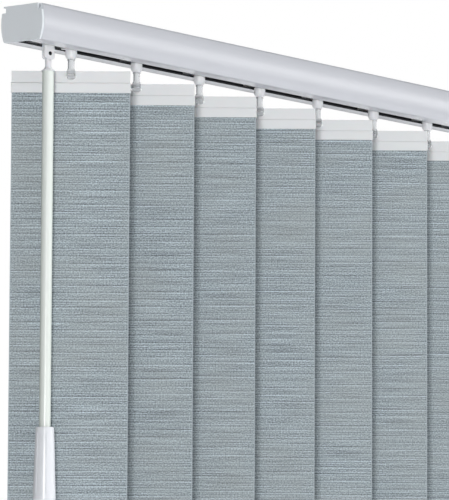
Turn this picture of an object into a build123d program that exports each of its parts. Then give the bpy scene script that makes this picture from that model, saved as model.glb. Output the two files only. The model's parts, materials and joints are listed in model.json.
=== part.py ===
from build123d import *
from math import cos, pi, radians, sin
import os

# A wand-operated vertical blind, in millimetres. X runs along the headrail, +Y towards the wall,
# +Z up. The origin is the centre of the headrail's flat top, where its brackets hold it.

# Layout of the whole blind
vane_count = 7
vane_pitch = 79.0
vane_width = 89.0
vane_turn = -52.5
drop = 900.0
end_margin = 56.0
rail_length = (vane_count - 1) * vane_pitch + 2 * end_margin
rail_left = -rail_length / 2
first_hook = rail_left + end_margin
wand_offset = 26.8
wand_x = first_hook - wand_offset

# Headrail section
rail_height = 27.3
half_top = 17.4
half_belly = 20.0
half_bottom = 17.2
belly_z = -13.3
bottom_round = 1.2
rail_wall = 1.4
slot_width = 10.9
groove_wall = 15.4
groove_low = -5.0
groove_high = -1.1
front_groove_near = 16.2
front_groove_far = 15.2
front_groove_depth = 3.2
bead_y = 9.6
bead_depth = 0.35

# End caps
cap_plate = 2.0
cap_fit = 0.15
cap_rib = 1.2
cap_depth = 9.0
cap_foot_gap = 7.5
rod_seat_wall = 1.6
rod_seat_radius = 2.65
rod_seat_length = 7.0

# Tilt rod, a hexagonal bar
rod_y = 8.6
rod_z = -13.2
rod_flats = 4.5
rod_end_gap = 0.6

# Carrier trucks
truck_length = 12.6
truck_half_width = 10.5
truck_floor = -24.9
truck_deck = -17.0
truck_top = -8.8
housing_front = -6.6
housing_back = 13.6
truck_round = 0.8
boss_radius = 4.45
boss_bottom = -31.0
boss_waist = (3.75, -32.5)
boss_tip_radius = 2.95
boss_tip = -33.6
stem_bore = 2.08
pinion_floor = -15.3
pinion_room = 5.0
worm_floor = -17.2
worm_room = 4.0
worm_room_length = 8.6
seat_mouth = 5.6

# Wheels, two on stub axles of each truck
wheel_radius = 3.95
wheel_width = 3.0
wheel_y = 12.5
wheel_z = -21.7
wheel_bore = 1.25
wheel_bevel = 0.5
axle_radius = 1.2
axle_reach = 14.6

# Worms, one on the rod inside each truck
worm_crest = 3.8
worm_root = 3.2
worm_thread = 2.2
worm_land = 1.3
worm_flank = 85
worm_turns = 4
worm_length = 8.2
journal_radius = 2.92
journal_seat = 3.0
journal_reach = 6.2
worm_flats = 4.7

# Gear teeth: half of a tooth's width at its foot and crest, as shares of the pitch
tooth_foot = 0.36
tooth_crest = 0.18

# Stems: pinion, shaft, collars and hook in one moulding
pinion_tip = 4.6
pinion_root = 3.7
pinion_teeth = 12
pinion_bottom = -15.2
pinion_height = 4.0
hub_radius = 2.6
hub_height = 0.8
shaft_radius = 2.0
stem_radius = 2.5
collar_radius = 2.9
upper_collar = (-33.7, -34.7)
lower_collar = (-41.0, -41.7)
hook_width = 6.6
hook_foot_round = 2.2
hook_head_round = 1.1
hook_half = 2.0
jaw_gap = 0.85
throat_top = -42.5
hook_low = -49.0
hook_bar_z = -47.2
hook_bar_radius = 0.9
hook_bar_gap = 0.1
hook_window = (4.6, 1.0)
hook_window_z = -45.3

# Headers, fabric vanes and their weights
header_top = -42.6
header_half = 0.7
header_width = 89.2
header_step = -51.3
band_half = 1.3
band_width = 90.0
band_bottom = -59.0
eyelet_size = (7.8, 2.8)
eyelet_z = -46.9
fabric_half = 0.3
fabric_slot_half = 0.36
fabric_slot_top = -52.3
fabric_top = -52.6
pocket_height = 38.0
pocket_slope = 3.0
pocket_room_half = 0.7
pocket_wall = 0.6
weight_width = 84.0
weight_height = 30.0
weight_half = 0.6
weight_round = 4.0
weight_gap = 0.1

# Truck that leads the blind and carries the wand, with its gear on the rod
lead_length = 16.0
lead_top = -7.0
lead_front = -6.2
lead_back = 14.8
shoe_reach = 15.2
shoe_low = -25.65
shoe_top = -18.5
link_width = 5.0
link_low = -20.5
link_high = -18.0
link_hook_low = -27.1
link_hook_length = 2.6
link_gap = 0.1
guide_length = 13.5
guide_end = 5.6
guide_front = -5.15
guide_back = -4.15
guide_low = -27.1
guide_high = -22.5
drive_tip = 4.8
drive_root = 3.9
drive_teeth = 16
drive_length = 5.0
drive_journal = 3.2
drive_seat = 3.28
drive_room = 5.2
drive_end_play = 0.5
drive_mouth = 6.2
gear_face_play = 0.1
gear_tip_play = 0.5

# Wand: knuckle, pin, tip, tube and grip
knuckle_x = 9.4
knuckle_y = 5.2
knuckle_turn = -16.0
knuckle_top = -25.2
knuckle_bottom = -37.0
knuckle_round = 1.6
knuckle_foot_cut = 1.9
fork_width = 2.5
fork_roof = -28.3
knuckle_tip = 3.6
knuckle_root = 2.7
knuckle_teeth = 8
knuckle_gear = (-15.8, -10.6)
pin_z = -32.8
pin_radius = 1.2
pin_hole = 1.25
pin_recess = 1.5
pin_recess_depth = 0.9
eye_radius = 4.1
tongue_half = 1.05
tongue_width = 4.4
tongue_sink = 1.0
neck_top = -38.3
neck_radius = 2.35
neck_bottom = -42.2
neck_flare = (3.15, -44.0)
shoulder_radius = 4.75
shoulder_z = -45.2
lip_radius = 5.1
lip_slope = 0.2
plug_radius = 3.5
plug_bottom = -56.0
tube_radius = 4.35
tube_bore = 3.6
tube_top = -46.0
tube_bottom = -324.0
grip_top = -311.8
grip_top_radius = 6.8
grip_foot_radius = 8.6
grip_bottom = -367.0
grip_rim_round = 0.5
grip_foot_round = 2.4
grip_bore = 4.45
grip_floor_gap = 0.5
grip_mouth = 6.0
grip_mouth_depth = 2.0
rib_count = 6
rib_turn = 50.0
rib_width = 0.9
rib_height = 0.35
rib_top = -315.0
rib_foot = -362.0
rib_slope = 1.6
rib_bite = 0.2


def grip_radius(height):
    """Radius of the grip's cone at a height."""
    share = (grip_top - height) / (grip_top - grip_bottom)
    return grip_top_radius + (grip_foot_radius - grip_top_radius) * share


def gear_outline(teeth, tip, root):
    """Closed outline of a small gear with straight-flanked teeth."""
    step = 2 * pi / teeth
    corners = []
    for tooth in range(teeth):
        for turn, reach in (
            (-tooth_foot, root),
            (-tooth_crest, tip),
            (tooth_crest, tip),
            (tooth_foot, root),
        ):
            angle = (tooth + turn) * step
            corners.append((reach * cos(angle), reach * sin(angle)))
    return Polyline(*corners, close=True)


def hook_x(index):
    """X of a vane's hook, counted from 1 at the wand end."""
    return first_hook + (index - 1) * vane_pitch


along = Vector(cos(radians(vane_turn)), sin(radians(vane_turn)), 0)
across = Vector(sin(radians(vane_turn)), -cos(radians(vane_turn)), 0)
face_plane = Plane(origin=(0, 0, 0), x_dir=along, z_dir=across)
edge_plane = Plane(origin=(0, 0, 0), x_dir=across, z_dir=across.cross(Vector(0, 0, 1)))
rod_line = Axis((0, rod_y, rod_z), (1, 0, 0))
rod_plane = Plane(origin=(0, rod_y, rod_z), x_dir=(1, 0, 0), z_dir=(0, -1, 0))
rod_end_plane = Plane(origin=(0, rod_y, rod_z), x_dir=(0, 1, 0), z_dir=(1, 0, 0))

# The knuckle's front runs askew to the rail, and its pin lies square to that front
front_line = Vector(cos(radians(knuckle_turn)), sin(radians(knuckle_turn)), 0)
pin_line = Vector(-sin(radians(knuckle_turn)), cos(radians(knuckle_turn)), 0)
knuckle_foot = Plane(origin=(wand_x, 0, knuckle_bottom), x_dir=front_line, z_dir=(0, 0, 1))
swing_plane = Plane(origin=(wand_x, 0, pin_z), x_dir=front_line, z_dir=-pin_line)

os.makedirs("parts", exist_ok=True)


def save(piece, name):
    piece.part.label = name
    export_step(piece.part, f"parts/{name}.step")


def rail_outline():
    """The bowed outer line of the headrail, with its two lower corners rounded."""
    with BuildSketch() as outline:
        with BuildLine():
            ThreePointArc((-half_bottom, -rail_height), (-half_belly, belly_z), (-half_top, 0))
            Line((-half_top, 0), (half_top, 0))
            ThreePointArc((half_top, 0), (half_belly, belly_z), (half_bottom, -rail_height))
            Line((half_bottom, -rail_height), (-half_bottom, -rail_height))
        make_face()
        fillet(outline.vertices().group_by(Axis.Y)[0], bottom_round)
    return outline.sketch


def rail_cavity(gap):
    """The hollow of the headrail, drawn in by a gap, clear of both clip grooves."""
    with BuildSketch() as cavity:
        offset(rail_outline(), amount=-rail_wall - gap, kind=Kind.INTERSECTION)
        for side, low in ((1, groove_low), (-1, -front_groove_depth)):
            inner = groove_wall - rail_wall - gap
            with Locations((side * (inner + half_belly), low - rail_wall - gap)):
                Rectangle(
                    2 * half_belly,
                    half_belly,
                    align=(Align.CENTER, Align.MIN),
                    mode=Mode.SUBTRACT,
                )
    return cavity.sketch


# Headrail: one extrusion, open below along its slot
with BuildPart() as headrail:
    with BuildSketch(Plane.YZ.offset(rail_left)):
        add(rail_outline())
        add(rail_cavity(0), mode=Mode.SUBTRACT)
        with Locations((groove_wall, groove_low)):
            Rectangle(
                half_belly,
                groove_high - groove_low,
                align=(Align.MIN, Align.MIN),
                mode=Mode.SUBTRACT,
            )
        with Locations((-front_groove_near, 0)):
            Rectangle(
                front_groove_near - front_groove_far,
                front_groove_depth,
                align=(Align.MIN, Align.MAX),
                mode=Mode.SUBTRACT,
            )
        with Locations((0, -rail_height)):
            Rectangle(slot_width, rail_height / 4, mode=Mode.SUBTRACT)
        for side in (1, -1):
            with BuildLine():
                Polyline(
                    (side * bead_y - bead_depth, -rail_height),
                    (side * bead_y, -rail_height + bead_depth),
                    (side * bead_y + bead_depth, -rail_height),
                    close=True,
                )
            make_face(mode=Mode.SUBTRACT)
    extrude(amount=rail_length)
save(headrail, "headrail")

# Left end cap: a plate, a ribbed plug inside the rail and a seat for the tilt rod
with BuildPart() as end_cap:
    with BuildSketch(Plane.YZ.offset(rail_left - cap_plate)):
        add(rail_outline())
        with Locations((groove_wall, groove_low)):
            Rectangle(
                half_belly,
                groove_high - groove_low,
                align=(Align.MIN, Align.MIN),
                mode=Mode.SUBTRACT,
            )
        with Locations((-groove_wall, groove_low)):
            Rectangle(
                half_belly, half_belly, align=(Align.MAX, Align.MIN), mode=Mode.SUBTRACT
            )
    extrude(amount=cap_plate)
    with BuildSketch(Plane.YZ.offset(rail_left)):
        add(rail_cavity(cap_fit))
        add(rail_cavity(cap_fit + cap_rib), mode=Mode.SUBTRACT)
        with Locations((0, -rail_height)):
            Rectangle(2 * cap_foot_gap, rail_height / 2, mode=Mode.SUBTRACT)
    extrude(amount=cap_depth)
    with BuildSketch(Plane.YZ.offset(rail_left)):
        with Locations((rod_y, rod_z)):
            Circle(rod_seat_radius + rod_seat_wall)
            Circle(rod_seat_radius, mode=Mode.SUBTRACT)
    extrude(amount=rod_seat_length)
save(end_cap, "end_cap_left")

with BuildPart() as end_cap_right:
    add(mirror(end_cap.part, about=Plane.YZ))
save(end_cap_right, "end_cap_right")

# Tilt rod, turning in both end caps
with BuildPart() as tilt_rod:
    with BuildSketch(rod_end_plane.offset(rail_left + rod_end_gap)):
        RegularPolygon(radius=rod_flats / 2, side_count=6, major_radius=False)
    extrude(amount=rail_length - 2 * rod_end_gap)
save(tilt_rod, "tilt_rod")


# Carrier truck: wheeled base, open-topped gear housing and the boss below the slot
with BuildPart() as truck:
    with BuildSketch(Plane.XY.offset(truck_floor)):
        Rectangle(truck_length, 2 * truck_half_width)
    extrude(amount=truck_deck - truck_floor)
    with BuildSketch(Plane.XY.offset(truck_deck)):
        with Locations((0, housing_front)):
            Rectangle(
                truck_length, housing_back - housing_front, align=(Align.CENTER, Align.MIN)
            )
    extrude(amount=truck_top - truck_deck)
    fillet(truck.edges().filter_by(Axis.Z), truck_round)
    with BuildSketch(Plane.XZ):
        with BuildLine():
            Line((0, truck_floor), (boss_radius, truck_floor))
            Line((boss_radius, truck_floor), (boss_radius, boss_bottom))
            ThreePointArc((boss_radius, boss_bottom), boss_waist, (boss_tip_radius, boss_tip))
            Line((boss_tip_radius, boss_tip), (0, boss_tip))
            Line((0, boss_tip), (0, truck_floor))
        make_face()
    revolve(axis=Axis.Z)
    with BuildSketch(Plane.XZ):
        with Locations((0, wheel_z)):
            Circle(axle_radius)
    extrude(amount=axle_reach, both=True)
    with Locations((0, 0, boss_tip)):
        Cylinder(
            stem_bore,
            pinion_floor - boss_tip,
            align=(Align.CENTER, Align.CENTER, Align.MIN),
            mode=Mode.SUBTRACT,
        )
    with Locations((0, 0, pinion_floor)):
        Cylinder(
            pinion_room,
            truck_top - pinion_floor,
            align=(Align.CENTER, Align.CENTER, Align.MIN),
            mode=Mode.SUBTRACT,
        )
    with Locations((0, rod_y, worm_floor)):
        Box(
            worm_room_length,
            2 * worm_room,
            truck_top - worm_floor,
            align=(Align.CENTER, Align.CENTER, Align.MIN),
            mode=Mode.SUBTRACT,
        )
    with BuildSketch(rod_end_plane):
        Circle(journal_seat)
        Rectangle(seat_mouth, truck_top - rod_z, align=(Align.CENTER, Align.MIN))
    extrude(amount=truck_length, both=True, mode=Mode.SUBTRACT)

# The pair of wheels of one truck
with BuildPart() as wheels:
    for side in (1, -1):
        with BuildSketch(Plane.YZ):
            with BuildLine():
                near = side * wheel_y - wheel_width / 2
                far = side * wheel_y + wheel_width / 2
                Polyline(
                    (near, wheel_z + wheel_bore),
                    (near, wheel_z + wheel_radius - wheel_bevel),
                    (near + wheel_bevel, wheel_z + wheel_radius),
                    (far - wheel_bevel, wheel_z + wheel_radius),
                    (far, wheel_z + wheel_radius - wheel_bevel),
                    (far, wheel_z + wheel_bore),
                    close=True,
                )
            make_face()
    revolve(axis=Axis((0, 0, wheel_z), (0, 1, 0)))

# Worm: a threaded sleeve that slides along the rod and turns with it
with BuildPart() as worm:
    with BuildSketch(rod_plane):
        Rectangle(2 * journal_reach, journal_radius, align=(Align.CENTER, Align.MIN))
        Rectangle(worm_length, worm_root, align=(Align.CENTER, Align.MIN))
        with Locations(
            [((turn - (worm_turns - 1) / 2) * worm_thread, 0) for turn in range(worm_turns)]
        ):
            Trapezoid(worm_land, worm_crest, worm_flank, align=(Align.CENTER, Align.MIN))
    revolve(axis=rod_line)
    with BuildSketch(rod_end_plane):
        RegularPolygon(radius=worm_flats / 2, side_count=6, major_radius=False)
    extrude(amount=truck_length, both=True, mode=Mode.SUBTRACT)

# Stem: pinion on the truck's floor, shaft through the boss, hook over the header
with BuildPart() as stem:
    with BuildSketch(Plane.XY.offset(pinion_bottom)):
        with BuildLine():
            gear_outline(pinion_teeth, pinion_tip, pinion_root)
        make_face()
    extrude(amount=pinion_height)
    with BuildSketch(Plane.XZ):
        with BuildLine():
            Polyline(
                (0, pinion_bottom + pinion_height + hub_height),
                (hub_radius, pinion_bottom + pinion_height + hub_height),
                (hub_radius, pinion_bottom + hub_height),
                (shaft_radius, pinion_bottom + hub_height),
                (shaft_radius, upper_collar[0]),
                (collar_radius, upper_collar[0]),
                (collar_radius, upper_collar[1]),
                (stem_radius, upper_collar[1]),
                (stem_radius, lower_collar[0]),
                (collar_radius, lower_collar[0]),
                (collar_radius, lower_collar[1]),
                (0, lower_collar[1]),
                close=True,
            )
        make_face()
    revolve(axis=Axis.Z)
    with BuildSketch(face_plane) as jaws:
        with Locations((0, hook_low)):
            Rectangle(
                hook_width, lower_collar[1] - hook_low, align=(Align.CENTER, Align.MIN)
            )
        fillet(jaws.vertices().group_by(Axis.Y)[0], hook_foot_round)
        fillet(jaws.vertices().group_by(Axis.Y)[-1], hook_head_round)
    extrude(amount=hook_half, both=True)
    with BuildSketch(edge_plane):
        with Locations((0, throat_top)):
            Rectangle(2 * jaw_gap, 2 * (throat_top - hook_low), align=(Align.CENTER, Align.MAX))
    extrude(amount=hook_width, both=True, mode=Mode.SUBTRACT)
    with BuildSketch(face_plane):
        with Locations((0, hook_window_z)):
            Rectangle(*hook_window)
    extrude(amount=hook_half, mode=Mode.SUBTRACT)
    with BuildSketch(face_plane.offset(-jaw_gap)):
        with Locations((0, hook_bar_z)):
            Circle(hook_bar_radius)
    extrude(amount=2 * jaw_gap - hook_bar_gap)

# Header: the hanging plate with its eyelet, and the band that clamps the fabric
with BuildPart() as header:
    with BuildSketch(edge_plane):
        with Locations((0, header_step)):
            Rectangle(
                2 * header_half, header_top - header_step, align=(Align.CENTER, Align.MIN)
            )
    extrude(amount=header_width / 2, both=True)
    with BuildSketch(edge_plane):
        with BuildLine():
            slope = band_half - header_half
            Polyline(
                (-band_half, band_bottom),
                (-band_half, header_step - slope),
                (-header_half, header_step),
                (header_half, header_step),
                (band_half, header_step - slope),
                (band_half, band_bottom),
                close=True,
            )
        make_face()
        with Locations((0, band_bottom)):
            Rectangle(
                2 * fabric_slot_half,
                fabric_slot_top - band_bottom,
                align=(Align.CENTER, Align.MIN),
                mode=Mode.SUBTRACT,
            )
    extrude(amount=band_width / 2, both=True)
    with BuildSketch(face_plane):
        with Locations((0, eyelet_z)):
            SlotOverall(*eyelet_size)
    extrude(amount=band_half, both=True, mode=Mode.SUBTRACT)

# Fabric vane: one cloth thickness, folded at the bottom into the weight's pocket
with BuildPart() as vane:
    with BuildSketch(edge_plane):
        with BuildLine():
            pocket_half = pocket_room_half + pocket_wall
            pocket_top = -drop + pocket_height
            Polyline(
                (-fabric_half, fabric_top),
                (fabric_half, fabric_top),
                (fabric_half, pocket_top + pocket_slope),
                (pocket_half, pocket_top),
                (pocket_half, -drop),
                (-pocket_half, -drop),
                (-pocket_half, pocket_top),
                (-fabric_half, pocket_top + pocket_slope),
                close=True,
            )
        make_face()
        with Locations((0, -drop + pocket_wall)):
            Rectangle(
                2 * pocket_room_half,
                pocket_height - 2 * pocket_wall,
                align=(Align.CENTER, Align.MIN),
                mode=Mode.SUBTRACT,
            )
    extrude(amount=vane_width / 2, both=True)

# Weight: a rounded steel plate lying in the pocket
with BuildPart() as weight:
    with BuildSketch(face_plane):
        with Locations((0, -drop + pocket_wall + weight_height / 2 + weight_gap)):
            RectangleRounded(weight_width, weight_height, weight_round)
    extrude(amount=weight_half, both=True)

repeated = {
    "truck": truck,
    "wheels": wheels,
    "worm": worm,
    "stem": stem,
    "header": header,
    "vane": vane,
    "weight": weight,
}
for index in range(1, vane_count + 1):
    for name, form in repeated.items():
        with BuildPart() as copy:
            with Locations((hook_x(index), 0, 0)):
                add(form.part)
        save(copy, f"{name}_{index}")


# Lead truck: slides on shoes, houses the wand's gears and hooks onto the first truck
with BuildPart() as wand_truck:
    with BuildSketch(Plane.XY.offset(truck_floor)):
        with Locations((wand_x, 0)):
            Rectangle(lead_length, 2 * truck_half_width)
    extrude(amount=truck_deck - truck_floor)
    with BuildSketch(Plane.XY.offset(shoe_low)):
        for side in (1, -1):
            with Locations((wand_x, side * (truck_half_width + shoe_reach) / 2)):
                Rectangle(lead_length, shoe_reach - truck_half_width)
    extrude(amount=shoe_top - shoe_low)
    with BuildSketch(Plane.XY.offset(truck_deck)):
        with Locations((wand_x, lead_front)):
            Rectangle(lead_length, lead_back - lead_front, align=(Align.CENTER, Align.MIN))
    extrude(amount=lead_top - truck_deck)
    with Locations((wand_x, 0, truck_floor)):
        Cylinder(
            stem_bore,
            knuckle_gear[0] - truck_floor,
            align=(Align.CENTER, Align.CENTER, Align.MIN),
            mode=Mode.SUBTRACT,
        )
    with Locations((wand_x, 0, knuckle_gear[0] - gear_face_play)):
        Cylinder(
            knuckle_tip + gear_tip_play,
            lead_top - knuckle_gear[0] + gear_face_play,
            align=(Align.CENTER, Align.CENTER, Align.MIN),
            mode=Mode.SUBTRACT,
        )
    with Locations((wand_x, rod_y, rod_z - drive_room)):
        Box(
            drive_length + 2 * drive_end_play,
            2 * drive_room,
            lead_top - rod_z + drive_room,
            align=(Align.CENTER, Align.CENTER, Align.MIN),
            mode=Mode.SUBTRACT,
        )
    with BuildSketch(rod_end_plane.offset(wand_x - lead_length)):
        Circle(drive_seat)
        Rectangle(drive_mouth, lead_top - rod_z, align=(Align.CENTER, Align.MIN))
    extrude(amount=2 * lead_length, mode=Mode.SUBTRACT)
    with BuildSketch(Plane.XY.offset(guide_low)):
        with Locations((wand_x - lead_length / 2 - guide_length, guide_front)):
            Rectangle(
                guide_length + lead_length / 2 - guide_end,
                guide_back - guide_front,
                align=(Align.MIN, Align.MIN),
            )
    extrude(amount=guide_high - guide_low)
    link_start = wand_x + lead_length / 2
    link_end = first_hook - truck_length / 2 - link_gap
    with BuildSketch(Plane.XZ):
        with BuildLine():
            Polyline(
                (link_start, link_low),
                (link_end - link_hook_length, link_low),
                (link_end - link_hook_length, link_hook_low),
                (link_end, link_hook_low),
                (link_end, link_high),
                (link_start, link_high),
                close=True,
            )
        make_face()
    extrude(amount=link_width / 2, both=True)
save(wand_truck, "wand_truck")

# Drive gear, sliding along the rod inside the lead truck
with BuildPart() as drive_gear:
    with BuildSketch(rod_end_plane.offset(wand_x - drive_length / 2)):
        with BuildLine():
            gear_outline(drive_teeth, drive_tip, drive_root)
        make_face()
    extrude(amount=drive_length)
    with BuildSketch(rod_end_plane.offset(wand_x - lead_length / 2)):
        Circle(drive_journal)
    extrude(amount=lead_length)
    with BuildSketch(rod_end_plane.offset(wand_x - lead_length)):
        RegularPolygon(radius=worm_flats / 2, side_count=6, major_radius=False)
    extrude(amount=2 * lead_length, mode=Mode.SUBTRACT)
save(drive_gear, "drive_gear")

# Knuckle: forked block in the rail's slot, with the gear that turns the rod
with BuildPart() as wand_knuckle:
    with BuildSketch(swing_plane) as front:
        with Locations((0, knuckle_bottom - pin_z)):
            Rectangle(knuckle_x, knuckle_top - knuckle_bottom, align=(Align.CENTER, Align.MIN))
        chamfer(front.vertices().group_by(Axis.Y)[0], knuckle_foot_cut)
    extrude(amount=knuckle_y / 2, both=True)
    fillet(wand_knuckle.edges().filter_by(Axis.Z), knuckle_round)
    with BuildSketch(Plane.XY.offset(knuckle_top)):
        with Locations((wand_x, 0)):
            Circle(shaft_radius)
    extrude(amount=knuckle_gear[1] - knuckle_top)
    with BuildSketch(Plane((wand_x, 0, knuckle_gear[0]))):
        with BuildLine():
            gear_outline(knuckle_teeth, knuckle_tip, knuckle_root)
        make_face()
    extrude(amount=knuckle_gear[1] - knuckle_gear[0])
    with BuildSketch(knuckle_foot):
        Rectangle(2 * knuckle_x, fork_width)
    extrude(amount=fork_roof - knuckle_bottom, mode=Mode.SUBTRACT)
    with BuildSketch(swing_plane):
        Circle(pin_hole)
    extrude(amount=knuckle_y, both=True, mode=Mode.SUBTRACT)
    for side in (1, -1):
        with BuildSketch(swing_plane.offset(side * knuckle_y / 2)):
            Circle(pin_recess)
        extrude(amount=-side * pin_recess_depth, mode=Mode.SUBTRACT)
save(wand_knuckle, "wand_knuckle")

# Cross pin of the knuckle
with BuildPart() as wand_pin:
    with BuildSketch(swing_plane):
        Circle(pin_radius)
    extrude(amount=knuckle_y / 2 - pin_recess_depth, both=True)
save(wand_pin, "wand_pin")

# Tip: an eye on the pin, a waisted neck and a shoulder that closes the tube
with BuildPart() as wand_tip:
    with BuildSketch(swing_plane):
        Circle(eye_radius)
        Rectangle(tongue_width, pin_z - neck_top + tongue_sink, align=(Align.CENTER, Align.MAX))
    extrude(amount=tongue_half, both=True)
    with BuildSketch(Plane(origin=(wand_x, 0, 0), x_dir=(1, 0, 0), z_dir=(0, -1, 0))):
        with BuildLine():
            Line((0, plug_bottom), (0, neck_top))
            Line((0, neck_top), (neck_radius, neck_top))
            Line((neck_radius, neck_top), (neck_radius, neck_bottom))
            ThreePointArc((neck_radius, neck_bottom), neck_flare, (shoulder_radius, shoulder_z))
            Line((shoulder_radius, shoulder_z), (lip_radius, shoulder_z - lip_slope))
            Line((lip_radius, shoulder_z - lip_slope), (lip_radius, tube_top))
            Line((lip_radius, tube_top), (plug_radius, tube_top))
            Line((plug_radius, tube_top), (plug_radius, plug_bottom))
            Line((plug_radius, plug_bottom), (0, plug_bottom))
        make_face()
    revolve(axis=Axis((wand_x, 0, 0), (0, 0, 1)))
    with BuildSketch(swing_plane):
        Circle(pin_hole)
    extrude(amount=knuckle_y, both=True, mode=Mode.SUBTRACT)
save(wand_tip, "wand_tip")

# Clear tube of the wand
with BuildPart() as wand_tube:
    with BuildSketch(Plane.XY.offset(tube_bottom)):
        with Locations((wand_x, 0)):
            Circle(tube_radius)
            Circle(tube_bore, mode=Mode.SUBTRACT)
    extrude(amount=tube_top - tube_bottom)
save(wand_tube, "wand_tube")

# Grip: a round handle that swells downwards, with fine ribs along it and an open mouth
with BuildPart() as wand_grip:
    with Locations((wand_x, 0, (grip_top + grip_bottom) / 2)):
        Cone(grip_foot_radius, grip_top_radius, grip_top - grip_bottom)
    rims = wand_grip.edges().filter_by(GeomType.CIRCLE).sort_by(Axis.Z)
    fillet(rims[-1], grip_rim_round)
    fillet(rims[0], grip_foot_round)
    for place in range(rib_count):
        turn = radians(rib_turn + place * 360 / rib_count)
        outward = Vector(cos(turn), sin(turn), 0)
        with BuildSketch(Plane(origin=(wand_x, 0, 0), x_dir=outward, z_dir=outward.cross(Vector(0, 0, 1)))):
            with BuildLine():
                Polyline(
                    (0, rib_top),
                    (grip_radius(rib_top) - rib_bite, rib_top),
                    (grip_radius(rib_top - rib_slope) + rib_height, rib_top - rib_slope),
                    (grip_radius(rib_foot + rib_slope) + rib_height, rib_foot + rib_slope),
                    (grip_radius(rib_foot) - rib_bite, rib_foot),
                    (0, rib_foot),
                    close=True,
                )
            make_face()
        extrude(amount=rib_width / 2, both=True)
    with Locations((wand_x, 0, grip_top)):
        Cylinder(
            grip_bore,
            grip_top - tube_bottom + grip_floor_gap,
            align=(Align.CENTER, Align.CENTER, Align.MAX),
            mode=Mode.SUBTRACT,
        )
        Cylinder(
            grip_mouth,
            grip_mouth_depth,
            align=(Align.CENTER, Align.CENTER, Align.MAX),
            mode=Mode.SUBTRACT,
        )
save(wand_grip, "wand_grip")
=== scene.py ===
import json
import math
import bmesh
import bpy
import numpy as np
from mathutils import Matrix, Vector


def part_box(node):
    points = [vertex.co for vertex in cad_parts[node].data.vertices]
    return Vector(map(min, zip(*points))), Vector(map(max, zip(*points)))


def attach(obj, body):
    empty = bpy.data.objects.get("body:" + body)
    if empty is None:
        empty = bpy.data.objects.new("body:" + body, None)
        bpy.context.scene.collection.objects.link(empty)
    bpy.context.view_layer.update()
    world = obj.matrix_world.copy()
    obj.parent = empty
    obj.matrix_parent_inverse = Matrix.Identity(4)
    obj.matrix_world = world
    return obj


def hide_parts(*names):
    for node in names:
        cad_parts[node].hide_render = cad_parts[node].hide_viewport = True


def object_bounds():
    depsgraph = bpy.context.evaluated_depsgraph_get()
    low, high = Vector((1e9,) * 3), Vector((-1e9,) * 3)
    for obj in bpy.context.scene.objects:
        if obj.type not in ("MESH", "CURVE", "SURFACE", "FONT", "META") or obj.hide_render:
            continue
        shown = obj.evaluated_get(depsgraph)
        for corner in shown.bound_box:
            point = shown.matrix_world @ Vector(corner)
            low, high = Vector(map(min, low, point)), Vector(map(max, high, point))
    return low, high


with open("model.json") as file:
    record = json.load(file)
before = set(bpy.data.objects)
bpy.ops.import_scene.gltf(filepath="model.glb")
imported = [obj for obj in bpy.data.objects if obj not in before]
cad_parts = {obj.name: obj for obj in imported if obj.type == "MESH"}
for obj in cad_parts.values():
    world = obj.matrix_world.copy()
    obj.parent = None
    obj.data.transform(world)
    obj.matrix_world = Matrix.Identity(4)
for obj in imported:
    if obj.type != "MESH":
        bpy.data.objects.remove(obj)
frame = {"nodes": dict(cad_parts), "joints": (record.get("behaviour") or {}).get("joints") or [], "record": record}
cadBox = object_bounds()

# A wand-operated vertical blind. X runs along the headrail, +Y towards the wall, +Z up, in metres.
# The vanes hang from clear hooks on carriers that run inside a white bowed rail.

scene = bpy.context.scene
joints = {joint["name"]: joint for joint in frame["joints"]}
bodies = frame["record"]["behaviour"]["bodies"]
bodyOf = {node: body for body, nodes in bodies.items() for node in nodes}
slotOf = {row["node"]: row["material_slot"] for row in frame["record"]["subparts"]}
vaneCount = sum(name.startswith("vane_") and name[5:].isdigit() for name in frame["nodes"])


def hookX(index):  # the axis of a vane's own turning joint
    return joints["tilt" if index == 1 else f"tilt_{index}"]["pos_m"][0]


def linear(red, green, blue):  # a colour as given on screen, 0 to 255, as the shader takes it
    shares = np.array([red, green, blue]) / 255
    tones = np.where(shares <= 0.04045, shares / 12.92, ((shares + 0.055) / 1.055) ** 2.4)
    return (*(float(tone) for tone in tones), 1.0)


# Nodes of a material

def newMaterial(name):
    material = bpy.data.materials.new(name)
    material.use_nodes = True
    tree = material.node_tree
    shader = tree.nodes["Principled BSDF"]
    return material, tree, shader


def addNode(tree, kind, **settings):
    node = tree.nodes.new(kind)
    for name, value in settings.items():
        setattr(node, name, value)
    return node


def feed(tree, socket, value):  # another node's output is linked, and a number or colour is set
    if isinstance(value, bpy.types.NodeSocket):
        tree.links.new(value, socket)
    else:
        socket.default_value = value


def noise(tree, coords, scale, detail, stretch=(1, 1, 1)):
    mapping = addNode(tree, "ShaderNodeMapping")
    mapping.inputs["Scale"].default_value = stretch
    tree.links.new(coords, mapping.inputs["Vector"])
    texture = addNode(tree, "ShaderNodeTexNoise")
    texture.inputs["Scale"].default_value = scale
    texture.inputs["Detail"].default_value = detail
    tree.links.new(mapping.outputs["Vector"], texture.inputs["Vector"])
    return texture.outputs["Fac"]


def spread(tree, value, low, high, fromLow=0.0, fromHigh=1.0):
    remap = addNode(tree, "ShaderNodeMapRange")
    for socket, number in (("From Min", fromLow), ("From Max", fromHigh), ("To Min", low), ("To Max", high)):
        remap.inputs[socket].default_value = number
    tree.links.new(value, remap.inputs["Value"])
    return remap.outputs["Result"]


def combine(tree, first, operation, second=0.0):
    operator = addNode(tree, "ShaderNodeMath", operation=operation)
    feed(tree, operator.inputs[0], first)
    feed(tree, operator.inputs[1], second)
    return operator.outputs["Value"]


def blendValue(tree, factor, first, second):
    mix = addNode(tree, "ShaderNodeMix", data_type="FLOAT")
    for socket, value in ((mix.inputs["Factor"], factor), (mix.inputs[2], first), (mix.inputs[3], second)):
        feed(tree, socket, value)
    return mix.outputs[0]


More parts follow.
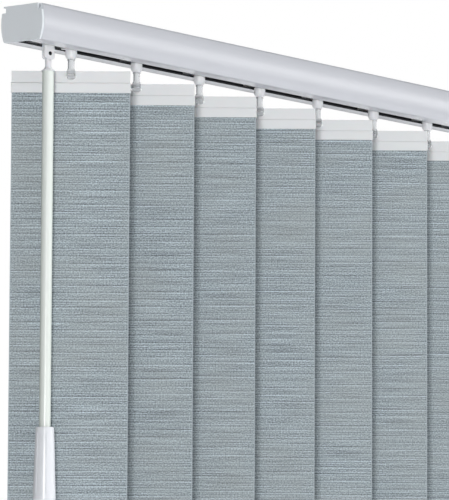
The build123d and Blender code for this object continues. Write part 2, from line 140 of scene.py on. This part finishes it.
def blendColour(tree, factor, first, second):
    mix = addNode(tree, "ShaderNodeMix", data_type="RGBA")
    for socket, value in ((mix.inputs["Factor"], factor), (mix.inputs[6], first), (mix.inputs[7], second)):
        feed(tree, socket, value)
    return mix.outputs[2]


def bump(tree, shader, height, depth, strength):
    relief = addNode(tree, "ShaderNodeBump")
    relief.inputs["Strength"].default_value = strength
    relief.inputs["Distance"].default_value = depth
    tree.links.new(height, relief.inputs["Height"])
    tree.links.new(relief.outputs["Normal"], shader.inputs["Normal"])


plasticGrain = {
    "flowScale": 45, "flowStretch": (1, 1, 0.3),
    "grainScale": 5200, "glossSpread": 0.05,
    "ior": 1.48, "milkDepth": 0.002,
    "relief": 0.00002, "strength": 0.4,
}


# Moulded plastic: a fine satin grain, faint flow marks along the piece and a slightly uneven gloss.
def mouldedPlastic(name, settings):
    material, tree, shader = newMaterial(name)
    coords = addNode(tree, "ShaderNodeTexCoord").outputs["Object"]
    flow = noise(tree, coords, plasticGrain["flowScale"], 2, plasticGrain["flowStretch"])
    grain = noise(tree, coords, plasticGrain["grainScale"], 2)
    tone = blendColour(tree, flow, settings["shade"], settings["colour"])
    tree.links.new(tone, shader.inputs["Base Color"])
    rough, uneven = settings["rough"], plasticGrain["glossSpread"]
    tree.links.new(spread(tree, grain, rough - uneven, rough + uneven), shader.inputs["Roughness"])
    shader.inputs["IOR"].default_value = plasticGrain["ior"]
    shader.inputs["Transmission Weight"].default_value = settings.get("clear", 0.0)
    shader.inputs["Subsurface Weight"].default_value = settings.get("milky", 0.0)
    shader.inputs["Subsurface Scale"].default_value = plasticGrain["milkDepth"]
    if "skin" in settings:    # painted shade: a tinted coat that darkens the piece where its surface turns away from view
        shader.inputs["Coat Weight"].default_value = 1.0
        shader.inputs["Coat IOR"].default_value = settings["skinIor"]
        shader.inputs["Coat Roughness"].default_value = rough
        shader.inputs["Coat Tint"].default_value = settings["skin"]
    bump(tree, shader, grain, plasticGrain["relief"], plasticGrain["strength"])
    return material


metalGrain = {"scale": 900, "roughSpread": 0.12, "relief": 0.00002, "strength": 0.5}


# Bare metal: rolled or drawn, with fine lines along one direction.
def metal(name, settings):
    material, tree, shader = newMaterial(name)
    coords = addNode(tree, "ShaderNodeTexCoord").outputs["Object"]
    lines = noise(tree, coords, metalGrain["scale"], 3, settings["lines"])
    tone = blendColour(tree, lines, settings["shade"], settings["colour"])
    tree.links.new(tone, shader.inputs["Base Color"])
    rough = settings["rough"]
    tree.links.new(spread(tree, lines, rough, rough + metalGrain["roughSpread"]), shader.inputs["Roughness"])
    shader.inputs["Metallic"].default_value = 1.0
    bump(tree, shader, lines, metalGrain["relief"], metalGrain["strength"])
    return material


coatGrain = {
    "peelScale": 1400,
    "dieScale": 700, "dieStretch": (0.01, 1, 1), "dieShare": 0.6,
    "glossSpread": 0.04, "relief": 0.00003, "strength": 0.35,
}


# Powder coat on extruded aluminium: orange peel over faint die lines that run along the rail.
def paintedRail(name, settings):
    material, tree, shader = newMaterial(name)
    coords = addNode(tree, "ShaderNodeTexCoord").outputs["Object"]
    peel = noise(tree, coords, coatGrain["peelScale"], 2)
    die = noise(tree, coords, coatGrain["dieScale"], 2, coatGrain["dieStretch"])
    height = combine(tree, peel, "ADD", combine(tree, die, "MULTIPLY", coatGrain["dieShare"]))
    tone = blendColour(tree, die, settings["shade"], settings["colour"])
    tree.links.new(tone, shader.inputs["Base Color"])
    rough, uneven = settings["rough"], coatGrain["glossSpread"]
    tree.links.new(spread(tree, peel, rough - uneven, rough + uneven), shader.inputs["Roughness"])
    shader.inputs["Coat Weight"].default_value = settings["coat"]
    shader.inputs["Coat Roughness"].default_value = settings["coatRough"]
    bump(tree, shader, height, coatGrain["relief"], coatGrain["strength"])
    return material


fabricLook = {
    "light": (205, 219, 226),
    "mid": (154, 164, 169),
    "dark": (90, 97, 102),
    "warm": (163, 168, 166),
    "warmth": (0.3, 0.4, 0.7),    # most of the warm tint, and the span of cloud values that brings it in
    # painted highlight: a lighter strip along both side edges of the cloth, where its cut edge catches the light
    "selvedge": (176, 186, 192),
    "selvedgeStart": 0.0437, "selvedgeShare": 0.6,
    "repeat": 0.00554,         # height of the weave's repeat
    "rhythm": {3: 0.95, 2: 0.50, 1: 0.36, 1.5: 0.18},    # strength of the lines that part a repeat
    "waver": (9, 40, 1), "waverHeight": 0.0012,
    "dashLength": 0.042,
    "yarnPitch": 0.00185, "yarnFineness": 2.2,
    "warpPitch": 0.00190, "knotFineness": 1.6,
    "clouds": (14, 22, 1),
    "shares": (0.70, 0.62, 0.66),
    "noiseSpan": 0.13,         # how far the noise strays from its middle
    "contrast": 0.185,
    "rough": 0.85, "specular": 0.2,
    "relief": 0.00016, "strength": 0.6,
}


# Slub weave. UV runs in metres across and down the cloth, so yarns follow its surface.
# Weft lines are sine waves down the cloth, sin(2 pi v / pitch), one for each part of the repeat.
# On them lie dashes, long across and one yarn tall, and knots, one yarn each way, both of noise.
def wovenFabric(name, settings):
    s = settings
    material, tree, shader = newMaterial(name)
    coords = addNode(tree, "ShaderNodeUVMap", uv_map="cloth").outputs["UV"]
    apart = addNode(tree, "ShaderNodeSeparateXYZ")
    tree.links.new(coords, apart.inputs["Vector"])
    waver = combine(tree, noise(tree, coords, 1.0, 1, s["waver"]), "MULTIPLY", s["waverHeight"])
    height = combine(tree, apart.outputs["Y"], "ADD", waver)
    lines = 0.0
    for share, strength in s["rhythm"].items():
        turn = combine(tree, height, "MULTIPLY", 2 * math.pi * share / s["repeat"])
        sine = combine(tree, combine(tree, turn, "ADD", share), "SINE")
        lines = combine(tree, combine(tree, sine, "MULTIPLY", strength), "ADD", lines)
    yarns = s["yarnFineness"] / s["yarnPitch"]
    dashes = noise(tree, coords, 1.0, 1, (1 / s["dashLength"], yarns, 1))
    knots = noise(tree, coords, 1.0, 0, (s["knotFineness"] / s["warpPitch"], yarns, 1))
    clouds = noise(tree, coords, 1.0, 2, s["clouds"])
    lineShare, dashShare, knotShare = s["shares"]
    yarn = combine(tree, lines, "MULTIPLY", lineShare)
    for pattern, share in ((dashes, dashShare), (knots, knotShare)):
        centred = combine(tree, combine(tree, pattern, "SUBTRACT", 0.5), "MULTIPLY", share / s["noiseSpan"])
        yarn = combine(tree, yarn, "ADD", centred)
    lit = combine(tree, combine(tree, yarn, "MULTIPLY", s["contrast"]), "ADD", 0.5)
    ramp = addNode(tree, "ShaderNodeValToRGB")
    ramp.color_ramp.elements[0].color = linear(*s["dark"])
    ramp.color_ramp.elements[1].color = linear(*s["light"])
    middle = ramp.color_ramp.elements.new(0.5)
    middle.color = linear(*s["mid"])
    tree.links.new(lit, ramp.inputs["Fac"])
    mostWarm, cloudLow, cloudHigh = s["warmth"]
    warmth = spread(tree, clouds, 0, mostWarm, cloudLow, cloudHigh)
    tint = blendColour(tree, warmth, ramp.outputs["Color"], linear(*s["warm"]))
    # Painted highlight: the cloth is lightened over its last stretch towards both side edges.
    offCentre = combine(tree, apart.outputs["X"], "ABSOLUTE")
    edge = combine(tree, offCentre, "GREATER_THAN", s["selvedgeStart"])
    highlightMix = combine(tree, edge, "MULTIPLY", s["selvedgeShare"])
    tree.links.new(blendColour(tree, highlightMix, tint, linear(*s["selvedge"])), shader.inputs["Base Color"])
    shader.inputs["Roughness"].default_value = s["rough"]
    shader.inputs["Specular IOR Level"].default_value = s["specular"]
    bump(tree, shader, lit, s["relief"], s["strength"])
    return material


looks = {
    "rail_coat": paintedRail("whitePowderCoat", {
        "colour": linear(190, 192, 198), "shade": linear(186, 188, 194),
        "rough": 0.34, "coat": 0.45, "coatRough": 0.16}),
    # Painted shade: near-black for the faces inside the rail, standing in for the shade in its cavity.
    "paintedShadeInRail": paintedRail("paintedShadeInRail", {
        "colour": linear(44, 46, 50), "shade": linear(30, 32, 36),
        "rough": 0.6, "coat": 0.0, "coatRough": 0.5}),
    "cap_plastic": mouldedPlastic("capPlastic", {
        "colour": linear(221, 226, 230), "shade": linear(218, 223, 227), "rough": 0.5}),
    "carrier_plastic": mouldedPlastic("carrierAcetal", {
        "colour": linear(223, 224, 226), "shade": linear(219, 220, 223), "rough": 0.36, "milky": 0.05}),
    "roller_plastic": mouldedPlastic("rollerNylon", {
        "colour": linear(232, 232, 228), "shade": linear(226, 226, 222), "rough": 0.42}),
    "hook_plastic": mouldedPlastic("clearHookPlastic", {
        "colour": linear(226, 228, 230), "shade": linear(216, 219, 221), "rough": 0.15, "clear": 0.7}),
    "header_plastic": mouldedPlastic("headerPlastic", {
        "colour": linear(214, 216, 217), "shade": linear(211, 213, 215), "rough": 0.4, "milky": 0.06}),
    "tube_plastic": mouldedPlastic("tubePlastic", {
        "colour": linear(250, 251, 250), "shade": linear(246, 248, 245), "rough": 0.2,
        # painted shade: the tinted coat darkens the tube towards its edges
        "skin": (0.79, 0.82, 0.80, 1.0), "skinIor": 1.12}),
    "grip_plastic": mouldedPlastic("gripPlastic", {
        "colour": linear(224, 226, 230), "shade": linear(219, 222, 227), "rough": 0.26}),
    "vane_fabric": wovenFabric("slubWeave", fabricLook),
    "rod_metal": metal("millAluminium", {
        "colour": linear(205, 207, 210), "shade": linear(176, 178, 182), "rough": 0.32,
        "lines": (0.02, 1, 1)}),
    "weight_steel": metal("galvanisedSteel", {
        "colour": linear(186, 189, 193), "shade": linear(150, 153, 158), "rough": 0.4,
        "lines": (1, 1, 0.3)}),
    # the pin's own dark steel, also used as painted shade in the knuckle's pin hole
    "pin_steel": metal("turnedPinAndHoleShade", {
        "colour": linear(62, 63, 66), "shade": linear(38, 39, 42), "rough": 0.45,
        "lines": (1, 0.1, 1)}),
}
print("materials ready")


# Surfaces

def addPiece(name, mesh, slotName):
    piece = bpy.data.objects.new(name, mesh)
    scene.collection.objects.link(piece)
    piece.data.materials.append(looks[slotName])
    return piece


# A surface through points, rows x columns x 3: each two by two neighbours carry one face.
def gridPiece(name, points, slotName, uv):
    rows, columns = points.shape[:2]
    row, column = np.meshgrid(np.arange(rows - 1), np.arange(columns - 1), indexing="ij")
    corners = ((row, column), (row, column + 1), (row + 1, column + 1), (row + 1, column))
    faces = np.stack([line * columns + place for line, place in corners], axis=-1).reshape(-1, 4)
    mesh = bpy.data.meshes.new(name)
    mesh.from_pydata(points.reshape(-1, 3).tolist(), [], faces.tolist())
    layer = mesh.uv_layers.new(name="cloth")
    layer.data.foreach_set("uv", uv.reshape(-1, 2)[faces.reshape(-1)].ravel())
    return addPiece(name, mesh, slotName)


def smoothBelow(mesh, degrees, cutEdges=False):  # cutEdges leaves a sheet's outer edges sharp
    mesh.shade_smooth()
    form = bmesh.new()
    form.from_mesh(mesh)
    for edge in form.edges:
        edge.smooth = edge.calc_face_angle() < math.radians(degrees) if edge.is_manifold else not cutEdges
    form.to_mesh(mesh)
    form.free()


mouldingLook = {
    "weld": 1e-6,                   # in metres
    "flat": 0.5, "crease": 28,      # in degrees
    "segments": 2,
}

easedNodes = {  # how far each kind of moulding has its edges eased
    "truck": 0.0002,
    "wand_truck": 0.0002,
    "stem": 0.00022,
    "header": 0.00025,
    "wand_knuckle": 0.0004,
    "wand_tip": 0.00015,
    "wand_tube": 0.0001,
    "wand_grip": 0.00012,
    "end_cap": 0.0006,
}


# A welded copy of a CAD node with its edges eased, standing in for the node itself.
def dress(node, edge):
    mesh = frame["nodes"][node].data.copy()
    mesh.name = f"{node}_finished"
    mesh.materials.clear()
    form = bmesh.new()
    form.from_mesh(mesh)
    bmesh.ops.remove_doubles(form, verts=form.verts, dist=mouldingLook["weld"])
    flat = math.radians(mouldingLook["flat"])
    bmesh.ops.dissolve_limit(form, angle_limit=flat, verts=form.verts, edges=form.edges)
    form.to_mesh(mesh)
    form.free()
    piece = addPiece(f"{node}_finished", mesh, slotOf[node])
    smoothBelow(mesh, mouldingLook["crease"])
    ease = piece.modifiers.new("easedEdges", "BEVEL")
    ease.width = edge
    ease.segments = mouldingLook["segments"]
    ease.limit_method = "ANGLE"
    ease.angle_limit = math.radians(mouldingLook["crease"])
    ease.harden_normals = True
    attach(piece, bodyOf[node])
    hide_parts(node)


for node in frame["nodes"]:
    frame["nodes"][node].data.materials.clear()
    frame["nodes"][node].data.materials.append(looks[slotOf[node]])
for node in frame["nodes"]:
    kind = next((kind for kind in easedNodes if node.startswith(kind)), None)
    if kind:
        dress(node, easedNodes[kind])

# Painted shade in the pin's hole: the knuckle's faces that lie wholly within reach of the pin's line take the dark
# pin material.
holeShadeReach = 0.00158
pinPlace = Vector(joints["wand_swing"]["pos_m"])
pinLine = Vector(joints["wand_swing"]["axis"]).normalized()
knuckle = bpy.data.objects["wand_knuckle_finished"].data
holeShadeVerts = {point.index for point in knuckle.vertices
           if (point.co - pinPlace).cross(pinLine).length < holeShadeReach}
knuckle.materials.append(looks["pin_steel"])
for face in knuckle.polygons:
    face.material_index = int(holeShadeVerts.issuperset(face.vertices))
print("mouldings dressed")


railLook = {
    "halfTop": 0.0174, "halfBelly": 0.0200, "halfBottom": 0.0172,
    "height": 0.0273, "bellyZ": -0.0133, "wall": 0.0014, "corner": 0.0012, "cornerTurn": 70,
    "slotHalf": 0.00545,
    "grooveWall": 0.0154, "grooveLow": -0.0050, "grooveHigh": -0.0011,
    "frontGroove": (0.0152, 0.0162, 0.0032),
    "beadY": 0.0096, "beadDepth": 0.00035,
    "topRound": 0.0007,
    "topLine": (0.0005, 0.00045),    # height and depth of the fine line under the top edge
    "endGap": 0.00025,
    "turnSteps": 6, "frontSteps": 26, "rearSteps": 22, "innerSteps": 18,
}


# Half-width of the bowed wall at height z: the circle through its top, belly and foot.
def bowPoint(settings, z, inset=0.0):
    top = np.array([settings["halfTop"], 0.0])
    belly = np.array([settings["halfBelly"], settings["bellyZ"]])
    foot = np.array([settings["halfBottom"], -settings["height"]])
    system = np.array([belly - top, foot - belly]) * 2
    centre = np.linalg.solve(system, [belly @ belly - top @ top, foot @ foot - belly @ belly])
    radius = np.linalg.norm(top - centre) - inset
    return centre[0] + np.sqrt(radius**2 - (z - centre[1]) ** 2)


# The whole C-shaped section of the headrail as one closed line of (y, z), counter-clockwise from the slot.
def railSection(settings):
    s = settings
    low, wall, corner = -s["height"], s["wall"], s["corner"]
    near, far, depth = s["frontGroove"]
    turn = np.radians(np.linspace(0, s["cornerTurn"], s["turnSteps"]))
    lineHigh, lineDepth = s["topLine"]
    lineZ = -s["topRound"] - lineHigh
    wallZ = np.linspace(low + corner, lineZ, s["frontSteps"])
    roll = np.radians(np.linspace(90, 0, s["turnSteps"]))
    topY = bowPoint(s, -s["topRound"]) - s["topRound"]
    topEdge = np.stack([topY + s["topRound"] * np.cos(roll), s["topRound"] * (np.sin(roll) - 1)], 1)
    topLine = [(bowPoint(s, z) - lineDepth, z) for z in (lineZ + lineHigh, lineZ)]
    top = np.concatenate([topEdge, topLine])
    footY = bowPoint(s, low + corner) - corner
    corners = np.stack([footY + corner * np.sin(turn), low + corner - corner * np.cos(turn)], 1)
    outerWall = np.stack([bowPoint(s, wallZ), wallZ], 1)
    beadY, beadDepth = s["beadY"], s["beadDepth"]
    bead = [(beadY - beadDepth, low), (beadY, low + beadDepth), (beadY + beadDepth, low)]
    innerZ = np.linspace(low + wall, -depth - wall, s["innerSteps"])
    innerWall = np.stack([bowPoint(s, innerZ, wall), innerZ], 1)
    pocket = s["grooveWall"] - wall
    rearZ = np.linspace(low + corner, s["grooveLow"], s["rearSteps"])
    rear = np.concatenate([
        [(s["slotHalf"], low)], bead, corners, np.stack([bowPoint(s, rearZ), rearZ], 1),
        [(s["grooveWall"], s["grooveLow"]), (s["grooveWall"], s["grooveHigh"]),
         (bowPoint(s, s["grooveHigh"]), s["grooveHigh"]), (s["halfTop"], 0)]])
    front = np.concatenate([
        [(near, 0), (near, -depth), (far, -depth), (far, 0)], top, outerWall[::-1], corners[::-1], bead[::-1],
        [(s["slotHalf"], low), (s["slotHalf"], low + wall)], innerWall,
        [(pocket, -depth - wall), (pocket, -wall)]])
    innerRearZ = np.linspace(s["grooveLow"] - wall, low + wall, s["innerSteps"])
    innerRear = np.concatenate([
        [(pocket, -wall), (pocket, s["grooveLow"] - wall)],
        np.stack([bowPoint(s, innerRearZ, wall), innerRearZ], 1),
        [(s["slotHalf"], low + wall)]])
    return np.concatenate([rear, front * (-1, 1), innerRear])    # the front is drawn at +Y and mirrored


# The section carried straight along X and closed at both ends.
def extrudeAlongRail(name, section, stations, slotName):
    count = len(section)
    points = np.empty((2, count, 3))
    points[:, :, 0] = np.array(stations)[:, None]
    points[:, :, 1:] = section[None]
    mesh = bpy.data.meshes.new(name)
    here = np.arange(count)
    after = (here + 1) % count
    walls = np.stack([here, after, after + count, here + count], 1)
    closings = [list(here[::-1]), list(here + count)]
    mesh.from_pydata(points.reshape(-1, 3).tolist(), [], walls.tolist() + closings)
    return addPiece(name, mesh, slotName)


def faceCentres(mesh):
    centres = np.zeros(len(mesh.polygons) * 3)
    mesh.polygons.foreach_get("center", centres)
    return centres.reshape(-1, 3)


lowRail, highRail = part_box("headrail")
ends = (lowRail.x + railLook["endGap"], highRail.x - railLook["endGap"])
rail = extrudeAlongRail("headrail_finished", railSection(railLook), ends, "rail_coat")
# the second slot is the painted shade for the rail's inside
rail.data.materials.append(looks["paintedShadeInRail"])
rail.data.materials.append(looks["cap_plastic"])

railShade = {  # which faces count as the rail's inside and take the painted shade: the first three in wall thicknesses
    "skin": 0.7, "roof": 0.9, "lip": 0.4,
    "grooveY": 0.0150, "grooveZ": -0.0051,    # faces beyond both are in the grooves, so outside
    "endReach": 1e-4,
}
centres = faceCentres(rail.data)
sideways, level = np.abs(centres[:, 1]), centres[:, 2]
wall, foot = railLook["wall"], -railLook["height"]
inside = sideways < bowPoint(railLook, level.clip(foot, 0)) - wall * railShade["skin"]
inside &= (level < -wall * railShade["roof"]) & (level > foot + wall * railShade["lip"])
inside &= ~((sideways > railShade["grooveY"]) & (level > railShade["grooveZ"]))
atEnd = np.abs(centres[:, :1] - np.array(ends)).min(axis=1) < railShade["endReach"]
# inside faces get the painted shade, end faces the cap's plastic
rail.data.polygons.foreach_set("material_index", np.where(atEnd, 2, inside).astype(np.int32))
smoothBelow(rail.data, 20)
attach(rail, bodyOf["headrail"])
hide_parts("headrail")
print("rail ready")


vaneLook = {
    "width": 0.0890, "turn": -52.5,
    "top": -0.0526, "foot": -0.8990, "pocketTop": -0.8620, "slope": 0.0040,
    "pocketHalf": 0.0010, "weld": 0.0050, "thickness": 0.00055,
    "lap": 1.05,          # the back meets the front this many thicknesses behind it
    "yarnShift": 1.37,    # each vane is cut this much further along the cloth
    "frontRows": 90, "easeRows": 8, "pocketRows": 12, "foldRows": 10, "weldRows": 5, "columns": 15,
    "crease": 60,
}


def stepsAfter(start, end, count):  # evenly from start to end, without start itself
    return np.linspace(start, end, count + 1)[1:]


# Offset from the vane's plane and height, down the front, round the foot and up the back to the weld.
def clothPath(settings):
    s = settings
    half, rows, pocketTop, slope = s["pocketHalf"], s["pocketRows"], s["pocketTop"], s["slope"]
    pocketFoot = s["foot"] + half
    frontZ = np.linspace(s["top"], pocketTop + slope, s["frontRows"])
    front = np.stack([np.zeros(s["frontRows"]), frontZ], 1)
    ease = stepsAfter(0, 1, s["easeRows"])
    swing = ease**2 * (3 - 2 * ease)
    entry = np.stack([half * swing, pocketTop + slope * (1 - ease)], 1)
    fall = np.stack([np.full(rows, half), stepsAfter(pocketTop, pocketFoot, rows)], 1)
    turn = stepsAfter(0, np.pi, s["foldRows"])
    fold = np.stack([half * np.cos(turn), pocketFoot - half * np.sin(turn)], 1)
    rise = np.stack([np.full(rows, -half), stepsAfter(pocketFoot, pocketTop, rows)], 1)
    back = -half + (half - s["thickness"] * s["lap"]) * swing
    leave = np.stack([back, pocketTop + slope * ease], 1)
    weldZ = pocketTop + slope + stepsAfter(0, s["weld"], s["weldRows"])
    weld = np.stack([np.full(s["weldRows"], back[-1]), weldZ], 1)
    return np.concatenate([front, entry, fall, fold, rise, leave, weld])


# One cloth: the path swept across the vane's width, with the yarn lengths kept as its UV.
def hangVane(index, settings):
    s = settings
    path = clothPath(s)
    steps = np.linalg.norm(np.diff(path, axis=0), axis=1)
    length = np.concatenate([[0], np.cumsum(steps)])
    turn = math.radians(s["turn"])
    along = np.array([math.cos(turn), math.sin(turn), 0])
    across = np.array([math.sin(turn), -math.cos(turn), 0])
    spans = np.linspace(-s["width"] / 2, s["width"] / 2, s["columns"])
    points = spans[None, :, None] * along + path[:, None, :1] * across
    points[..., 0] += hookX(index)
    points[..., 2] += path[:, None, 1]
    uv = np.stack(np.broadcast_arrays(spans[None], length[:, None] + index * s["yarnShift"]), axis=-1)
    piece = gridPiece(f"vane_{index}_cloth", points, "vane_fabric", uv)
    smoothBelow(piece.data, s["crease"], cutEdges=True)
    thick = piece.modifiers.new("clothThickness", "SOLIDIFY")
    thick.thickness = s["thickness"]
    thick.offset = 0
    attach(piece, bodyOf[f"vane_{index}"])
    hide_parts(f"vane_{index}")


for index in range(1, vaneCount + 1):
    hangVane(index, vaneLook)
print("vanes hung")


# Camera, light and floor

cameraLook = {
    "place": (-2.5224, -1.8823, -0.5011),
    "yaw": 37.23, "pitch": 5.89, "roll": 0.28,
    "lens": 286.6, "shiftUp": 0.05,
    "clip": (0.1, 50),
}


def placeCamera(settings):
    yaw, pitch, roll = (math.radians(settings[key]) for key in ("yaw", "pitch", "roll"))
    ahead = Vector((math.cos(yaw) * math.cos(pitch), math.sin(yaw) * math.cos(pitch), math.sin(pitch)))
    level = Vector((math.sin(yaw), -math.cos(yaw), 0))
    upright = level.cross(ahead)
    right = level * math.cos(roll) + upright * math.sin(roll)
    up = upright * math.cos(roll) - level * math.sin(roll)
    turned = Matrix((right, up, -ahead)).transposed().to_4x4()
    camera = bpy.data.objects.new("camera", bpy.data.cameras.new("camera"))
    scene.collection.objects.link(camera)
    camera.matrix_world = Matrix.Translation(settings["place"]) @ turned
    camera.data.lens = settings["lens"]
    camera.data.shift_y = settings["shiftUp"]
    camera.data.clip_start, camera.data.clip_end = settings["clip"]
    scene.camera = camera


studioLook = {
    "target": (-0.1, 0, -0.2),
    "brightSide": (0.35, -0.93, 0.25),
    "ambient": (0.05, 0.26), "ambientSpan": (-0.5, 0.5),
    "gloss": (0.06, 0.28), "glossSpan": (0.0, 0.8),
    "bandHeight": 0.13, "bandSpan": 0.20, "bandStrength": 2.9,
    "floor": {"tone": (236, 237, 239), "rough": 0.9, "below": 0.03, "reach": 6.0, "bright": (0.6, -0.8),
              "light": (0.0, 0.52), "fade": 0.8, "gloss": 0.95, "seen": 0.30},
    "front": {"turn": -2.8, "rise": -1.0, "away": 3.4, "size": (0.28, 0.66), "power": 4.6, "gloss": True},
    "side": {"turn": 87.0, "rise": 36.0, "away": 6.0, "size": (1.9, 1.7), "power": 5.6, "gloss": False},
    "rear": {"turn": 176.0, "rise": 38.0, "away": 6.0, "size": (1.9, 1.7), "power": 2.2, "gloss": False},
}


# Plain white where the camera looks past the blind. As light and in gloss the studio is brightest towards
# brightSide: its strength rises evenly over a span of the cosine between that side and the direction.
# Gloss also sees a level band at bandHeight, which fades evenly to nothing over bandSpan, up and down.
def lightWorld(settings):
    world = bpy.data.worlds.new("studio")
    scene.world = world
    world.use_nodes = True
    tree = world.node_tree
    background = tree.nodes["Background"]
    background.inputs["Color"].default_value = (1, 1, 1, 1)
    paths = addNode(tree, "ShaderNodeLightPath")
    direction = addNode(tree, "ShaderNodeTexCoord").outputs["Generated"]
    facing = addNode(tree, "ShaderNodeVectorMath", operation="DOT_PRODUCT")
    facing.inputs[1].default_value = Vector(settings["brightSide"]).normalized()
    tree.links.new(direction, facing.inputs[0])
    cosine = facing.outputs["Value"]
    ambient = spread(tree, spread(tree, cosine, 0.0, 1.0, *settings["ambientSpan"]), *settings["ambient"])
    ahead = spread(tree, cosine, 0.0, 1.0, *settings["glossSpan"])
    apart = addNode(tree, "ShaderNodeSeparateXYZ")
    tree.links.new(direction, apart.inputs["Vector"])
    fromBand = combine(tree, apart.outputs["Z"], "SUBTRACT", settings["bandHeight"])
    fade = spread(tree, combine(tree, fromBand, "ABSOLUTE"), settings["bandStrength"], 0.0, 0.0,
                  settings["bandSpan"])
    band = combine(tree, fade, "MULTIPLY", ahead)
    gloss = combine(tree, spread(tree, ahead, *settings["gloss"]), "ADD", band)
    seen = combine(tree, paths.outputs["Is Camera Ray"], "MAXIMUM", paths.outputs["Is Transmission Ray"])
    unseen = combine(tree, 1.0, "SUBTRACT", seen)
    glossy = combine(tree, paths.outputs["Is Glossy Ray"], "MULTIPLY", unseen)
    spare = combine(tree, unseen, "SUBTRACT", glossy)
    strength = combine(tree, seen, "ADD", combine(tree, glossy, "MULTIPLY", gloss))
    strength = combine(tree, strength, "ADD", combine(tree, spare, "MULTIPLY", ambient))
    tree.links.new(strength, background.inputs["Strength"])


# The floor glows: as light, more towards its bright side and none at the far one, evenly in gloss,
# and at a lower even strength where the camera sees it.
def layFloor(settings):
    reach, z = settings["reach"], cadBox[0].z - settings["below"]
    tone = linear(*settings["tone"])
    corners = [(-reach, -reach, z), (reach, -reach, z), (reach, reach, z), (-reach, reach, z)]
    floor = bpy.data.objects.new("floor", bpy.data.meshes.new("floor"))
    floor.data.from_pydata(corners, [], [(0, 1, 2, 3)])
    scene.collection.objects.link(floor)
    material, tree, shader = newMaterial("studioFloor")
    shader.inputs["Base Color"].default_value = tone
    shader.inputs["Roughness"].default_value = settings["rough"]
    shader.inputs["Emission Color"].default_value = tone
    paths = addNode(tree, "ShaderNodeLightPath")
    apart = addNode(tree, "ShaderNodeSeparateXYZ")
    tree.links.new(addNode(tree, "ShaderNodeTexCoord").outputs["Object"], apart.inputs["Vector"])
    brightX, brightY = settings["bright"]
    sideways = combine(tree, apart.outputs["X"], "MULTIPLY", brightX)
    forwards = combine(tree, apart.outputs["Y"], "MULTIPLY", brightY)
    toBright = combine(tree, forwards, "ADD", sideways)
    light = spread(tree, toBright, *settings["light"], -settings["fade"], settings["fade"])
    light = blendValue(tree, paths.outputs["Is Glossy Ray"], light, settings["gloss"])
    glow = blendValue(tree, paths.outputs["Is Camera Ray"], light, settings["seen"])
    tree.links.new(glow, shader.inputs["Emission Strength"])
    floor.data.materials.append(material)


# A soft panel that faces the blind, placed by its turn from the camera's line, to the right, and its rise.
# Its falloff with distance is switched off, so that it lights the whole rail equally.
def hangLamp(name, settings, target):
    lamp = bpy.data.lights.new(name, "AREA")
    lamp.shape = "RECTANGLE"
    lamp.size, lamp.size_y = settings["size"]
    lamp.energy = settings["power"]
    lamp.use_nodes = True
    falloff = addNode(lamp.node_tree, "ShaderNodeLightFalloff")
    falloff.inputs["Strength"].default_value = 1.0
    emission = lamp.node_tree.nodes["Emission"]
    lamp.node_tree.links.new(falloff.outputs["Constant"], emission.inputs["Strength"])
    back = math.radians(cameraLook["yaw"] + 180 + settings["turn"])
    rise = math.radians(settings["rise"])
    line = Vector((math.cos(back) * math.cos(rise), math.sin(back) * math.cos(rise), math.sin(rise)))
    place = Vector(target) + line * settings["away"]
    panel = bpy.data.objects.new(name, lamp)
    panel.location = place
    panel.rotation_euler = (Vector(target) - place).to_track_quat("-Z", "Y").to_euler()
    panel.visible_glossy = settings["gloss"]
    scene.collection.objects.link(panel)


placeCamera(cameraLook)
lightWorld(studioLook)
layFloor(studioLook["floor"])
hangLamp("frontPanel", studioLook["front"], studioLook["target"])
hangLamp("sidePanel", studioLook["side"], studioLook["target"])
hangLamp("rearPanel", studioLook["rear"], studioLook["target"])    # reaches the front too, off the floor
scene.view_settings.view_transform = "Standard"
print("light and camera set")
